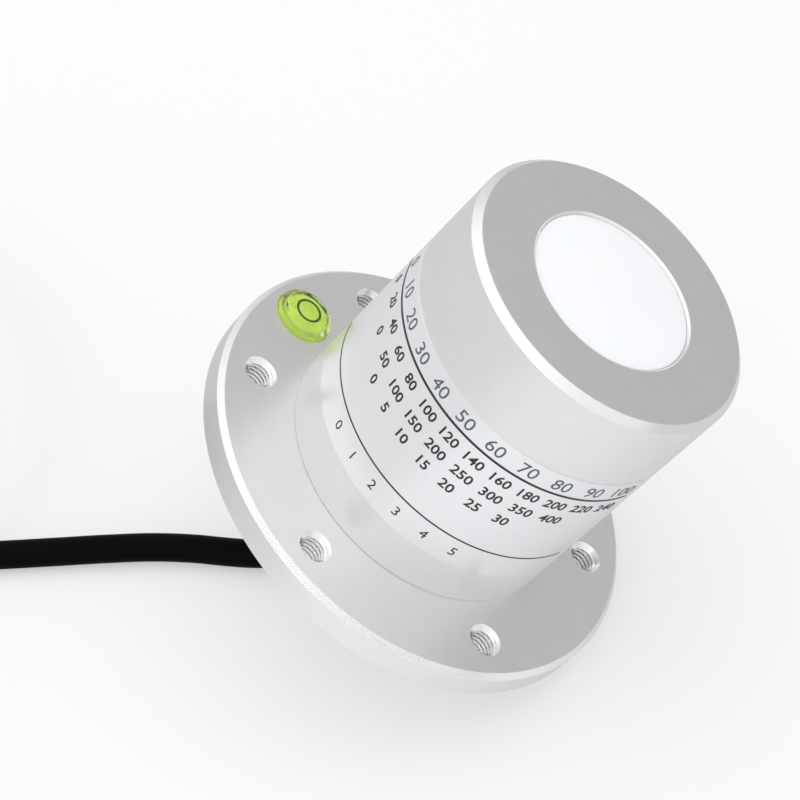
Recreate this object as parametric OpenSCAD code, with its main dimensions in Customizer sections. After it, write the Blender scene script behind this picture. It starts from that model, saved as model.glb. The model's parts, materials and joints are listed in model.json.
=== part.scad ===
// Light sensor for plant growth light: a turned aluminium housing on a round
// flange, with a white window on top, a bubble level let into the flange and a
// cable out of the middle of its underside.
// It lies as it does on a table when it isn't screwed down: tipped over on the
// rim of its flange, propped by the cable, which bends away under it.
// All sizes are in millimetres and all angles in degrees.

/* [Housing] */
// Outer diameter of the turned housing
housing_d = 51.7; // [51:0.1:56]
// Height of the housing above the flange
housing_h = 52.8; // [50:0.1:75]
// Thickness of the housing's side wall
housing_wall = 5; // [4.6:0.1:6]
// Thickness of the housing's top
housing_top_t = 4; // [3.6:0.1:8]
// Width of the bevel round the top edge
housing_bevel = 1.2; // [0.3:0.1:2]
// Number of screws that hold the housing to the flange
housing_screw_count = 4; // [3:1:6]
// Angle from the leaning side to the first of those screws
housing_screw_turn = 30; // [0:5:90]
// Length of those screws
housing_screw_length = 12; // [10:1:20]

/* [Flange] */
// Width by which the flange stands out round the housing
rim_w = 14.15; // [13.5:0.05:24]
// Thickness of the flange
flange_t = 5.8; // [5.4:0.1:9]
// Width of the bevel round the flange's upper edge
flange_bevel = 0.9; // [0.2:0.1:1.5]
// Width of the bevel round the flange's lower edge
foot_bevel = 0.5; // [0.2:0.1:1]
// Height of the ring on the flange that centres the housing
spigot_h = 4; // [3.6:0.1:6]
// Inner diameter of that ring
spigot_bore_d = 22; // [18:0.5:25]
// Angle by which the flange leans when it lies on a table
lean = 33.4; // [30:0.1:36]

/* [Mounting holes] */
// Distance of the mounting holes outwards from the middle of the rim
mount_shift = 0.075; // [-0.5:0.025:0.5]
// Number of mounting holes
mount_count = 6; // [3:1:8]
// Diameter of the tapped bore
mount_bore_d = 4.2; // [3.3:0.1:5]
// Diameter of the countersink at the bore's mouth
mount_mouth_d = 5.9; // [5.4:0.1:7]

/* [Bubble level] */
// Diameter of the level's vial
level_d = 10; // [8:0.1:11.5]
// Distance of the level inwards from the middle of the rim
level_shift = 0.225; // [-0.4:0.025:0.4]
// Angle from the leaning side to the level
level_turn = 149; // [146:1:154]
// Depth of the pocket that the level is glued into
level_pocket = 4; // [3:0.1:4.5]
// Height of the vial's rim above the flange
level_rim_h = 1; // [0.4:0.1:2]
// Width of the shoulder round the vial's raised lens
level_shoulder = 0.9; // [0.5:0.1:1.1]
// Height of that lens above the shoulder
level_lens_h = 0.7; // [0.3:0.1:2]
// Thickness of the vial's clear wall
level_wall = 1.3; // [1.2:0.1:1.6]
// Thickness of the plug that closes the vial from below
level_plug_t = 1; // [0.6:0.1:1.4]
// Diameter of the air bubble
bubble_d = 2.6; // [1.6:0.1:3]

/* [Window] */
// Thickness of the filter holder's wall, which stands round the window's lip
holder_wall = 3.75; // [3.2:0.05:6]
// Width of the bevel round the window's opening
window_bevel = 0.4; // [0.2:0.1:0.8]
// Depth of the white window below the housing's top
window_sink = 0.3; // [0.1:0.1:0.8]
// Thickness of the window's lip
lip_t = 2; // [1.2:0.1:3]
// Width of the window's lip
lip_w = 2; // [1.6:0.1:2.4]
// Thickness of the flat seal above the lip
window_seal_t = 0.6; // [0.4:0.1:1]

/* [Optics] */
// Diameter of the round filter glasses
filter_d = 12.7; // [10:0.1:15]
// Thickness of the colour filter glass
colour_glass_t = 2; // [1:0.1:3]
// Thickness of the infrared filter glass
infrared_glass_t = 1; // [0.6:0.1:2]
// Diameter of the aperture under the filters
aperture_d = 7.2; // [4:0.1:7.8]
// Thickness of the aperture's web
aperture_t = 0.9; // [0.6:0.1:2]
// Diameter of the photodiode's metal can
diode_d = 8.2; // [7.9:0.1:9]
// Height of the photodiode's metal can
diode_h = 4.2; // [3:0.1:5]
// Width of the rim round the can's foot
diode_rim = 0.5; // [0.3:0.1:0.8]

/* [Boards] */
// Thickness of both circuit boards
board_t = 1.6; // [1:0.1:2]
// Room between the sensor board and the heads of the holder's screws
sensor_board_room = 1.7; // [0.5:0.1:2.5]
// Room between the main board and the housing's bore
main_board_room = 1.85; // [0.5:0.05:2.4]
// Height of the posts that carry the main board
post_h = 14; // [12.5:0.5:18]
// Width of the hexagonal posts across their flats
post_af = 5; // [4.5:0.1:5.5]
// Pitch of the terminal block's poles
pole_pitch = 2.54; // [2.54:0.01:3.5]

/* [Gland] */
// Outer diameter of the gland's mounting thread
gland_thread_d = 10; // [9.5:0.1:12]
// Width of the gland's shoulder beyond its thread, to the hexagon's flats
gland_shoulder = 1; // [0.8:0.1:2]
// Depth of the round recess in the flange's underside, for the gland's washer
gland_recess = 0.8; // [0.3:0.1:1.5]
// Height of the gland body's hexagon
gland_hex_h = 3.2; // [2:0.1:5]
// Height of the gland's domed cap
gland_cap_h = 7.6; // [7.4:0.1:10]
// Thickness of the gland's sealing washer
gland_washer_t = 0.8; // [0.5:0.1:1.5]
// Thickness of the nut inside the housing
gland_nut_t = 3; // [2:0.1:3.4]

/* [Cable] */
// Outer diameter of the cable
cable_d = 5; // [4.6:0.1:5]
// Diameter of the coil, at the middle of its turns
coil_d = 60; // [50:1:64]
// Turns in each layer of the coil
coil_turns = 2.5; // [1.5:0.5:3.5]
// Gap between the coil's turns
coil_gap = 0.45; // [0.42:0.01:1]
// Thickness of the ties' strap
tie_t = 0.6; // [0.4:0.1:1]
// Width of the ties' strap
tie_w = 4; // [2:0.5:8]
// Diameter of the coloured cores
core_d = 1.2; // [0.8:0.1:1.3]
// Length of the bare wire at each core's end
bare_length = 6; // [3:0.5:10]

/* [Label] */
// Height of the label's lower edge above the flange
label_low = 8.3; // [4:0.1:12]
// Height of the label
label_h = 28.7; // [20:0.1:32]
// Angle that the label covers
label_sweep = 151.6; // [90:0.1:200]
// Angle from the leaning side to the label's end
label_turn = -193; // [-220:1:-150]
// Thickness of the label
label_t = 0.15; // [0.1:0.01:0.3]

/* [Hidden] */
$fn = 96;

// Clearance between pieces that slide together, and round screws
fit = 0.15;
// How far a cutting shape runs past the face that it opens
over = 1;

// The pieces stand on the flange's underside, with +Z along the sensor's axis
housing_r = housing_d / 2;
flange_r = housing_r + rim_w;
mount_place = housing_r + rim_w / 2 + mount_shift;
level_place = housing_r + rim_w / 2 - level_shift;
bore_r = housing_r - housing_wall;
housing_top = flange_t + housing_h;
ceiling = housing_top - housing_top_t;
spigot_top = flange_t + spigot_h;
spigot_r = bore_r - fit;

// The flange's lower edge touches the table, and the housing's top corner and
// the flange's far edge are as far from the origin
seat_z = (flange_r - foot_bevel) * sin(lean);
seat_left = foot_bevel * sin(lean) - flange_r * cos(lean);
seat_right = (housing_top - housing_bevel) * sin(lean) + housing_r * cos(lean);
seat_x = -(seat_left + seat_right) / 2;

// Groove and ring that seal the housing
groove_w = 1.9;
groove_depth = 1.25;
groove_low = flange_t + 1.1;
seal_slack = 0.02;
seal_d = groove_depth + fit - 2 * seal_slack;

// Screws: nominal diameter, head diameter and head height
m3_d = 3;
m3_head_d = 5.6;
m3_head_h = 1.7;
m2_d = 2;
m2_head_d = 3.6;
m2_head_h = 1.3;
housing_screw_place = housing_r - housing_wall / 2;
tap_margin = 1;

// Window: its lip lies inside the filter holder, under a seal in a recess of the top
holder_r = bore_r - 2 * fit;
holder_recess_r = holder_r - holder_wall;
lip_r = holder_recess_r - 2 * fit;
diffuser_r = lip_r - lip_w;
opening_r = diffuser_r + fit;
lip_recess = 1.4;
lip_top = ceiling + lip_recess - window_seal_t;
lip_low = lip_top - lip_t;
window_top = housing_top - window_sink;
window_round = 0.4;

// Filter holder: it hangs under the top, presses the window up and holds the glasses
colour_low = lip_low - colour_glass_t;
infrared_low = colour_low - infrared_glass_t;
aperture_low = infrared_low - aperture_t;
diode_room = 0.2;
holder_low = aperture_low - diode_h - diode_room;
holder_screw_place = (holder_recess_r + holder_r) / 2 - fit;
holder_screw_count = 3;
holder_thread = 3;
board_screw_depth = 4;
board_screw_turn = 60;

// Boards and what stands on them
sensor_board_low = holder_low - board_t;
sensor_board_r = holder_screw_place - m2_head_d / 2 - sensor_board_room;
board_screw_place = sensor_board_r - 3;
main_board_r = bore_r - main_board_room;
post_place = (spigot_bore_d / 2 + spigot_r - groove_depth) / 2;
post_turn = 60;
post_count = 3;
post_thread = 4;
main_board_low = spigot_top + post_h;
main_board_top = main_board_low + board_t;
pin_d = 0.5;
lead_d = 1.1;
lead_pitch = 2.54;
lead_place = 3.5 - board_screw_place;
pin_stub = 1;
pin_count = 3;
pin_place = 2.54;
leg_w = 0.4;
leg_length = 1.2;
leg_h = 0.5;
chip_gap = 0.1;
capacitor_d = 5;
capacitor_h = 5.4;
// Places on the main board, as shares of its radius
processor_place = [0.16, -0.24];
driver_place = [0.42, 0.34];
capacitor_places = [[-0.42, -0.55], [-0.063, -0.684]];

// Terminal block under the main board, its mouths turned to the cable
pole_count = 4;
block_h = 8.5;
block_w = 6.5;
block_place = 7;
block_length = pole_pitch * pole_count + 1;
mouth_z = main_board_low - block_h / 2 - 1.5;
mouth_depth = 4;
mouth_d = core_d + 2 * fit;
terminal_screw_d = 1.6;
terminal_screw_h = 1;
terminal_screw_sunk = 0.2;
terminal_screw_place = block_place + mouth_depth - 1;

// Gland: washer, body and cap below the flange, nut inside it
gland_bore_d = cable_d + 0.6;
gland_thread_r = gland_thread_d / 2;
gland_af = gland_thread_d + 2 * gland_shoulder;
recess_room = 1.6;
gland_recess_d = gland_af / cos(30) + 2 * recess_room;
washer_low = gland_recess - gland_washer_t;
hex_low = washer_low - gland_hex_h;
cap_gap = 0.2;
cap_high = hex_low - cap_gap;
gland_low = cap_high - gland_cap_h;
gland_neck_h = 5.2;
gland_neck_low = hex_low - gland_neck_h;
insert_w = 0.9;
insert_r = gland_bore_d / 2 + insert_w;
gland_neck_r = insert_r + insert_w;
cap_lip_r = gland_neck_r - cap_gap;
cap_hex_h = 3.6;
nut_af = gland_af + 2;
nut_slack = 0.1;
thread_stub = 0.4;
insert_drop = 0.6;
cap_edge_w = 0.7;
cap_edge_h = 0.4;
cap_dome_h = 1.4;
jacket_top = spigot_top + 2.2;

// Level: the vial is glued into its pocket, closed by a plug below
vial_low = flange_t - level_pocket + fit;
vial_rim = flange_t + level_rim_h;
vial_top = vial_rim + level_lens_h;
fluid_r = level_d / 2 - level_wall;
fluid_low = vial_low + level_plug_t;
fluid_high = vial_top - level_wall;
bubble_shift = fluid_r - bubble_d / 2 - fit;
bubble_cut = 0.6;
level_lens_d = level_d - 2 * level_shoulder;

// Coil: loops beside and on each other, a layer apart, lifted by the ties
cable_r = cable_d / 2;
layers = 4;
loop_steps = 24;
loop_sides = 6;
coil_x = -131.5;
coil_y = 18;
coil_start = -80;
turn_step = cable_d + coil_gap;
coil_outer = coil_d / 2 + coil_turns * turn_step / 2;
coil_inner = coil_outer - coil_turns * turn_step;
coil_total = coil_turns * layers;
tie_room = 0.3;
coil_z = tie_t + tie_room + cable_r;
coil_end_z = coil_z + (layers - 1) * turn_step;
tie_turns = [140, -40];
tie_knot_d = 2;
tie_knot_length = 8;
climb = 0.5;

// A place on the sensor's axis, at a height above the flange's underside
function on_axis(z) = [seat_x + z * sin(lean), 0, seat_z + z * cos(lean)];

// Places beyond a point along a heading
function beyond(from, heading, length) = from + heading * length;

// Layer that the coil has reached after some turns: it climbs while the spiral reverses
function layer_at(turns) = [for (k = [1:1:layers]) climbed(turns, k)] * [for (k = [1:1:layers]) 1];
function climbed(turns, k) = k == layers ? 0 : min(max((turns - k * coil_turns) / climb + 0.5, 0), 1);

// Distance, in turns, from the coil's outer edge: in, out, in, out
function inward(turns) = abs(turns - 2 * coil_turns * round(turns / (2 * coil_turns)));
function coil_radius(turns) = coil_outer - turn_step * inward(turns);
function coil_angle(turns) = coil_start - 360 * turns;
function coil_height(turns) = coil_z + turn_step * layer_at(turns);
function around(radius, angle, z) = [coil_x + radius * cos(angle), coil_y + radius * sin(angle), z];
function coil_point(turns) = around(coil_radius(turns), coil_angle(turns), coil_height(turns));
coil_heading = [sin(coil_start), -cos(coil_start), 0];
coil_loops = [for (k = [0:1:coil_total * loop_steps]) coil_point(k / loop_steps)];
coil_enter = beyond(coil_loops[0], coil_heading, -cable_d);
coil_leave = beyond(coil_loops[len(coil_loops) - 1], coil_heading, cable_d);
coil_route = concat([coil_enter], coil_loops, [coil_leave]);

// The cable's way from the gland over the table to the coil
cable_exit = on_axis(gland_low);
cable_down = [-sin(lean), 0, -cos(lean)];
lead_middle = [
    [-18.2, 0, 9.8],
    [-20.4, -0.1, 7.4],
    [-23.2, -0.3, 5.4],
    [-26.4, -0.8, 3.8],
    [-29.9, -1.4, 2.9],
    [-33.6, -2.1, 2.6],
    [-37.4, -2.6, 2.5],
    [-41.5, -2.8, 2.5],
    [-47, -2.9, 2.5],
    [-54, -3.6, 2.5],
    [-62.2, -5.2, 2.5],
    [-70.4, -7.1, 2.5],
    [-80.5, -9.4, 2.5],
    [-91, -11.6, 2.6],
    [-102, -13.8, 2.9],
    [-110, -15.5, 3.3]
];
lead_straight = 4;
lead_route = concat(
    [cable_exit, beyond(cable_exit, cable_down, 1.2)],
    lead_middle,
    [beyond(coil_enter, coil_heading, -lead_straight), coil_enter]
);
lead_sides = 10;

// Least gap between loops of the coil: points at least half a turn apart
function least(values) = min(values);
half_turn = loop_steps / 2;
coil_last = len(coil_loops) - 1;
loop_gaps = [
    for (i = [0:1:coil_last - half_turn])
        least([for (j = [i + half_turn:1:coil_last]) norm(coil_loops[j] - coil_loops[i])])
];
echo(least_gap_between_loops = least(loop_gaps) - cable_d);

// Length of a route
function route_length(route) =
    [for (k = [1:1:len(route) - 1]) norm(route[k] - route[k - 1])] * [for (k = [1:1:len(route) - 1]) 1];
echo(cable_length = route_length(lead_route) + route_length(coil_route));

// Rings of a tube along a route: each ring faces halfway between its neighbours
function unit(v) = v / norm(v);
function last(list) = len(list) - 1;
function facing(route, k) = unit(route[min(k + 1, last(route))] - route[max(k - 1, 0)]);
function squared(side, heading) = unit(side - (side * heading) * heading);
function sides_along(route, first) = [
    for (
        k = 0, side = squared(first, facing(route, 0));
        k < len(route);
        k = k + 1, side = k < len(route) ? squared(side, facing(route, k)) : side
    ) side
];
function ring(centre, heading, side, r, sides) = [
    for (s = [0:1:sides - 1])
        centre + r * (cos(360 * s / sides) * side + sin(360 * s / sides) * cross(heading, side))
];

// A closed tube swept along a route
module tube(route, r, sides, first = [0, 0, 1]) {
    across = sides_along(route, first);
    rings = [for (k = [0:1:last(route)]) ring(route[k], facing(route, k), across[k], r, sides)];
    points = [for (one = rings) each one];
    start = len(points);
    far = start + 1;
    end_ring = last(route) * sides;
    walls = [
        for (k = [0:1:last(route) - 1], s = [0:1:sides - 1])
            let (a = k * sides + s, b = k * sides + (s + 1) % sides)
            each [[a, b, b + sides], [a, b + sides, a + sides]]
    ];
    caps = [
        for (s = [0:1:sides - 1])
            let (t = (s + 1) % sides)
            each [[start, t, s], [far, end_ring + s, end_ring + t]]
    ];
    all_points = concat(points, [route[0]], [route[last(route)]]);
    faces = [for (f = concat(walls, caps)) [f[2], f[1], f[0]]];
    polyhedron(all_points, faces);
}

// The sensor as it leans on the table
module leaning() {
    translate([seat_x, 0, seat_z])
        rotate([0, lean, 0])
            children();
}

// Copies round the axis, at a distance from it
module spread(count, place, turn = 0) {
    for (k = [0:1:count - 1])
        rotate([0, 0, turn + 360 * k / count])
            translate([place, 0, 0])
                children();
}

// A round rod between two heights
module rod(low, high, d) {
    translate([0, 0, low])
        cylinder(h = high - low, d = d);
}

// A hexagonal bar between two heights, by its width across the flats
module hex_bar(low, high, af) {
    translate([0, 0, low])
        cylinder(h = high - low, d = af / cos(30), $fn = 6);
}

// A flat ring between two heights
module flat_ring(low, high, outer, inner) {
    difference() {
        rod(low, high, outer);
        rod(low - over, high + over, inner);
    }
}

// A pan head screw that points up, its head under the given height
module pan_screw(seat, length, d, head_d, head_h) {
    rod(seat - head_h, seat, head_d);
    rod(seat, seat + length, d);
}

// A turned disc with a bevel at its upper and lower edge
module bevelled_disc(r, low, high, low_bevel, high_bevel) {
    rotate_extrude()
        polygon([
            [0, low],
            [r - low_bevel, low],
            [r, low + low_bevel],
            [r, high - high_bevel],
            [r - high_bevel, high],
            [0, high]
        ]);
}

// Hole for the gland's thread, with a round recess for its washer
module gland_hole() {
    rod(-over, flange_t + over, gland_thread_d + 2 * fit);
    rod(-over, gland_recess, gland_recess_d);
}

// Tapped mounting hole with a wide countersink at its mouth
module mount_hole() {
    sink = (mount_mouth_d - mount_bore_d) / 2;
    rod(-over, flange_t + over, mount_bore_d);
    translate([0, 0, flange_t - sink])
        cylinder(h = sink + over, d1 = mount_bore_d, d2 = mount_mouth_d + 2 * over);
}

// Clearance hole and countersink for a housing screw
module housing_screw_hole() {
    rod(-over, flange_t + over, m3_d + 2 * fit);
    translate([0, 0, -over])
        cylinder(h = over, d = m3_head_d + 2 * fit);
    cylinder(h = m3_head_h, d1 = m3_head_d + 2 * fit, d2 = m3_d + 2 * fit);
}

module base_flange() {
    color("gainsboro")
        leaning()
            difference() {
                union() {
                    bevelled_disc(flange_r, 0, flange_t, foot_bevel, flange_bevel);
                    rod(flange_t - over, spigot_top, 2 * spigot_r);
                }
                rod(flange_t, spigot_top + over, spigot_bore_d);
                rotate_extrude()
                    translate([spigot_r - groove_depth, groove_low])
                        square([groove_depth + over, groove_w]);
                gland_hole();
                spread(mount_count, mount_place)
                    mount_hole();
                spread(housing_screw_count, housing_screw_place, housing_screw_turn)
                    housing_screw_hole();
                spread(post_count, post_place, post_turn)
                    rod(spigot_top - post_thread - fit, spigot_top + over, m3_d + 2 * fit);
                spread(1, level_place, level_turn)
                    rod(flange_t - level_pocket, flange_t + over, level_d + 2 * fit);
            }
}

// Half section of the housing, from its bore to its bevelled top
module housing_section() {
    polygon([
        [bore_r, flange_t],
        [housing_r, flange_t],
        [housing_r, housing_top - housing_bevel],
        [housing_r - housing_bevel, housing_top],
        [opening_r + window_bevel, housing_top],
        [opening_r, housing_top - window_bevel],
        [opening_r, ceiling + lip_recess],
        [lip_r + fit, ceiling + lip_recess],
        [lip_r + fit, ceiling],
        [bore_r, ceiling]
    ]);
}

module housing() {
    color("silver")
        leaning()
            difference() {
                rotate_extrude()
                    housing_section();
                spread(housing_screw_count, housing_screw_place, housing_screw_turn)
                    rod(flange_t - over, housing_screw_length + tap_margin, m3_d + 2 * fit);
                spread(holder_screw_count, holder_screw_place)
                    rod(ceiling - over, ceiling + holder_thread, m2_d + 2 * fit);
            }
}

module housing_seal() {
    color("black")
        leaning()
            rotate_extrude()
                translate([spigot_r - groove_depth + seal_slack + seal_d / 2, groove_low + groove_w / 2])
                    circle(d = seal_d);
}

module housing_screws() {
    color("lightgrey")
        leaning()
            spread(housing_screw_count, housing_screw_place, housing_screw_turn) {
                cylinder(h = m3_head_h, d1 = m3_head_d, d2 = m3_d);
                rod(m3_head_h - fit, housing_screw_length, m3_d);
            }
}

module housing_label() {
    color("aliceblue")
        leaning()
            rotate([0, 0, label_turn])
                rotate_extrude(angle = label_sweep)
                    translate([housing_r, flange_t + label_low])
                        square([label_t, label_h]);
}

module window_diffuser() {
    color("white")
        leaning()
            rotate_extrude()
                polygon([
                    [0, lip_low],
                    [lip_r, lip_low],
                    [lip_r, lip_top],
                    [diffuser_r, lip_top],
                    [diffuser_r, window_top - window_round],
                    [diffuser_r - 0.3 * window_round, window_top - 0.3 * window_round],
                    [diffuser_r - window_round, window_top],
                    [0, window_top]
                ]);
}

module window_seal() {
    color("dimgray")
        leaning()
            flat_ring(lip_top, ceiling + lip_recess, 2 * lip_r, 2 * opening_r);
}

module filter_holder() {
    color([0.1, 0.1, 0.11])
        leaning()
            difference() {
                rod(holder_low, ceiling, 2 * holder_r);
                rod(lip_low, ceiling + over, 2 * holder_recess_r);
                rod(infrared_low, lip_low + over, filter_d + 2 * fit);
                rod(holder_low - over, ceiling, aperture_d);
                rod(holder_low - over, aperture_low, diode_d + 2 * diode_rim + 2 * fit);
                spread(holder_screw_count, holder_screw_place)
                    rod(holder_low - over, ceiling + over, m2_d + 2 * fit);
                spread(holder_screw_count, board_screw_place, board_screw_turn)
                    rod(holder_low - over, holder_low + board_screw_depth + fit, m2_d + 2 * fit);
            }
}

module colour_filter() {
    color([0.55, 0.8, 0.78])
        leaning()
            rod(colour_low, lip_low, filter_d);
}

module infrared_filter() {
    color([0.75, 0.85, 0.9])
        leaning()
            rod(infrared_low, colour_low, filter_d);
}

module holder_screws() {
    grip = ceiling - holder_low + holder_thread - fit;
    color("dimgray")
        leaning()
            spread(holder_screw_count, holder_screw_place)
                pan_screw(holder_low, grip, m2_d, m2_head_d, m2_head_h);
}

module photodiode() {
    color("lightsteelblue")
        leaning() {
            rod(holder_low, holder_low + diode_rim, diode_d + 2 * diode_rim);
            rod(holder_low, holder_low + diode_h, diode_d);
            spread(pin_count, pin_place)
                rod(sensor_board_low - pin_stub, holder_low + over, pin_d);
        }
}

module sensor_board() {
    color("darkgreen")
        leaning()
            difference() {
                rod(sensor_board_low, holder_low, 2 * sensor_board_r);
                spread(holder_screw_count, board_screw_place, board_screw_turn)
                    rod(sensor_board_low - over, holder_low + over, m2_d + 2 * fit);
                sensor_lead_places()
                    rod(sensor_board_low - over, holder_low + over, pin_d + 2 * fit);
                spread(pin_count, pin_place)
                    rod(sensor_board_low - over, holder_low + over, pin_d + 2 * fit);
            }
}

module sensor_board_screws() {
    grip = board_t + board_screw_depth;
    color("lightgrey")
        leaning()
            spread(holder_screw_count, board_screw_place, board_screw_turn)
                pan_screw(sensor_board_low, grip, m2_d, m2_head_d, m2_head_h);
}

// Three leads side by side, behind the middle of the boards
module sensor_lead_places() {
    for (k = [-1:1:1])
        translate([lead_place, k * lead_pitch, 0])
            children();
}

module sensor_leads() {
    color("orange")
        leaning()
            sensor_lead_places() {
                rod(main_board_top, sensor_board_low, lead_d);
                rod(main_board_low, holder_low - fit, pin_d);
            }
}

module board_posts() {
    color("goldenrod")
        leaning()
            spread(post_count, post_place, post_turn)
                difference() {
                    union() {
                        hex_bar(spigot_top, main_board_low, post_af);
                        rod(spigot_top - post_thread, spigot_top + over, m3_d);
                    }
                    rod(main_board_low - 2 * post_thread, main_board_low + over, m3_d + 2 * fit);
                }
}

module main_board() {
    color("darkgreen")
        leaning()
            difference() {
                rod(main_board_low, main_board_top, 2 * main_board_r);
                spread(post_count, post_place, post_turn)
                    rod(main_board_low - over, main_board_top + over, m3_d + 2 * fit);
                sensor_lead_places()
                    rod(main_board_low - over, main_board_top + over, pin_d + 2 * fit);
            }
}

module main_board_screws() {
    color("lightgrey")
        leaning()
            spread(post_count, post_place, post_turn) {
                rod(main_board_top, main_board_top + m3_head_h, m3_head_d);
                rod(main_board_low - post_thread, main_board_top + over, m3_d);
            }
}

// A flat chip on the main board, with its legs along two sides
module chip(place, length, width, height, legs) {
    body_low = main_board_top + chip_gap;
    leg_pitch = length / legs;
    translate([main_board_r * place[0], main_board_r * place[1], body_low + height / 2])
        cube([width, length, height], center = true);
    for (side = [-1, 1], k = [0:1:legs - 1])
        translate([main_board_r * place[0], main_board_r * place[1], main_board_top])
            translate([side * width / 2 - leg_length / 2, (k + 0.5) * leg_pitch - (length + leg_w) / 2, 0])
                cube([leg_length, leg_w, leg_h]);
}

module processor_chip() {
    color([0.12, 0.12, 0.13])
        leaning()
            chip(processor_place, 7, 7, 1.2, 8);
}

module driver_chip() {
    color([0.12, 0.12, 0.13])
        leaning()
            chip(driver_place, 5, 4, 1.5, 4);
}

module board_capacitors() {
    color([0.75, 0.77, 0.8])
        leaning()
            for (place = capacitor_places)
                translate([main_board_r * place[0], main_board_r * place[1], 0])
                    rod(main_board_top, main_board_top + capacitor_h, capacitor_d);
}

// The cable's four places in the terminal block
module pole_places() {
    for (k = [0:1:pole_count - 1])
        translate([0, (k - (pole_count - 1) / 2) * pole_pitch, 0])
            children();
}

module terminal_block() {
    low = main_board_low - block_h;
    color("seagreen")
        leaning()
            difference() {
                translate([block_place, -block_length / 2, low])
                    cube([block_w, block_length, block_h]);
                pole_places() {
                    translate([block_place - over, 0, mouth_z])
                        rotate([0, 90, 0])
                            cylinder(h = mouth_depth + over, d = mouth_d);
                    translate([terminal_screw_place, 0, low - over])
                        rod(0, over + terminal_screw_h + terminal_screw_sunk, terminal_screw_d + 2 * fit);
                }
            }
}

module terminal_screws() {
    low = main_board_low - block_h;
    color("lightgrey")
        leaning()
            pole_places()
                translate([terminal_screw_place, 0, low + terminal_screw_sunk])
                    rod(0, terminal_screw_h, terminal_screw_d);
}

module gland_body() {
    color("lightgrey")
        leaning()
            difference() {
                union() {
                    hex_bar(hex_low, washer_low, gland_af);
                    rod(washer_low - over, flange_t + gland_nut_t + thread_stub, gland_thread_d);
                    rod(gland_neck_low, hex_low + over, 2 * gland_neck_r);
                }
                rod(gland_neck_low - over, flange_t + gland_nut_t + over, gland_bore_d);
                rod(gland_neck_low - over, hex_low, 2 * insert_r + fit);
            }
}

module gland_washer() {
    color("black")
        leaning()
            flat_ring(washer_low, gland_recess, gland_af, gland_thread_d + fit);
}

module gland_insert() {
    color([0.15, 0.15, 0.15])
        leaning()
            flat_ring(gland_neck_low - insert_drop, hex_low - fit, 2 * insert_r, cable_d + fit / 2);
}

module gland_cap() {
    cap_round = cap_high - cap_hex_h;
    color("lightgrey")
        leaning()
            difference() {
                union() {
                    hex_bar(cap_round, cap_high, gland_af);
                    rotate_extrude()
                        polygon([
                            [0, gland_low],
                            [cap_lip_r, gland_low],
                            [cap_lip_r + cap_edge_w, gland_low + cap_edge_h],
                            [gland_af / 2 - cap_edge_h, cap_round - cap_dome_h],
                            [gland_af / 2, cap_round],
                            [gland_af / 2, cap_round + fit],
                            [0, cap_round + fit]
                        ]);
                }
                rod(gland_neck_low - insert_drop - cap_gap, cap_high + over, 2 * gland_neck_r + 2 * fit);
                rod(gland_low - over, cap_high, gland_bore_d);
            }
}

module gland_nut() {
    color("lightgrey")
        leaning()
            difference() {
                hex_bar(flange_t, flange_t + gland_nut_t, nut_af);
                rod(flange_t - over, spigot_top + over, gland_thread_d + nut_slack);
            }
}

module cable_entry() {
    color([0.08, 0.08, 0.08])
        leaning()
            rod(gland_low, jacket_top, cable_d);
}

// Where each of the four cores leaves the jacket's end, round its middle
core_place = 0.32 * cable_d;
function core_offset(k) = core_place * [cos(45 + 90 * k), sin(45 + 90 * k)];

// The order of the cores puts neighbours in the jacket beside each other in the block
pole_of_core = [3, 2, 1, 0];
core_colours = ["red", "black", "gold", "blue"];

// From the jacket's end each core rises, bends over and runs into its pole
core_lift = 0.6;
core_bend_step = 15;
core_bared = 1.4;
function entry_core_route(k) =
    let (from = core_offset(k), pole_y = (pole_of_core[k] - (pole_count - 1) / 2) * pole_pitch)
    let (foot = jacket_top + core_lift, mouth = block_place - core_lift)
    concat(
        [[from[0], from[1], jacket_top]],
        [
            for (bend = [0:core_bend_step:90])
                [
                    from[0] + (mouth - from[0]) * (1 - cos(bend)),
                    from[1] + (pole_y - from[1]) * (1 - cos(2 * bend)) / 2,
                    foot + (mouth_z - foot) * sin(bend)
                ]
        ],
        [[block_place + mouth_depth - core_bared, pole_y, mouth_z]]
    );

module entry_cores() {
    leaning()
        for (k = [0:1:pole_count - 1])
            color(core_colours[k])
                tube(entry_core_route(k), core_d / 2, 8, [0, 1, 0]);
}

// The clear shell of the level, with room for the fluid
module level_vial() {
    color([0.85, 0.95, 0.6])
        leaning()
            spread(1, level_place, level_turn)
                difference() {
                    union() {
                        rod(vial_low, vial_rim, level_d);
                        rod(vial_rim - fit, vial_top, level_lens_d);
                    }
                    rod(vial_low - over, fluid_high, 2 * fluid_r);
                }
}

// The bubble rises to the highest place under the lens, away from the leaning side
module level_fluid() {
    color([0.75, 0.95, 0.2])
        leaning()
            spread(1, level_place, level_turn)
                difference() {
                    rod(fluid_low, fluid_high, 2 * fluid_r);
                    rotate([0, 0, 180 - level_turn])
                        translate([bubble_shift, 0, fluid_high - bubble_d / 2 + bubble_cut])
                            sphere(d = bubble_d, $fn = 32);
                }
}

module level_plug() {
    color("white")
        leaning()
            spread(1, level_place, level_turn)
                rod(vial_low, fluid_low, 2 * fluid_r);
}

module cable_lead() {
    color([0.07, 0.07, 0.07])
        tube(lead_route, cable_r, lead_sides, [0, 1, 0]);
}

module cable_coil() {
    color([0.07, 0.07, 0.07])
        tube(coil_route, cable_r, loop_sides);
}

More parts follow.
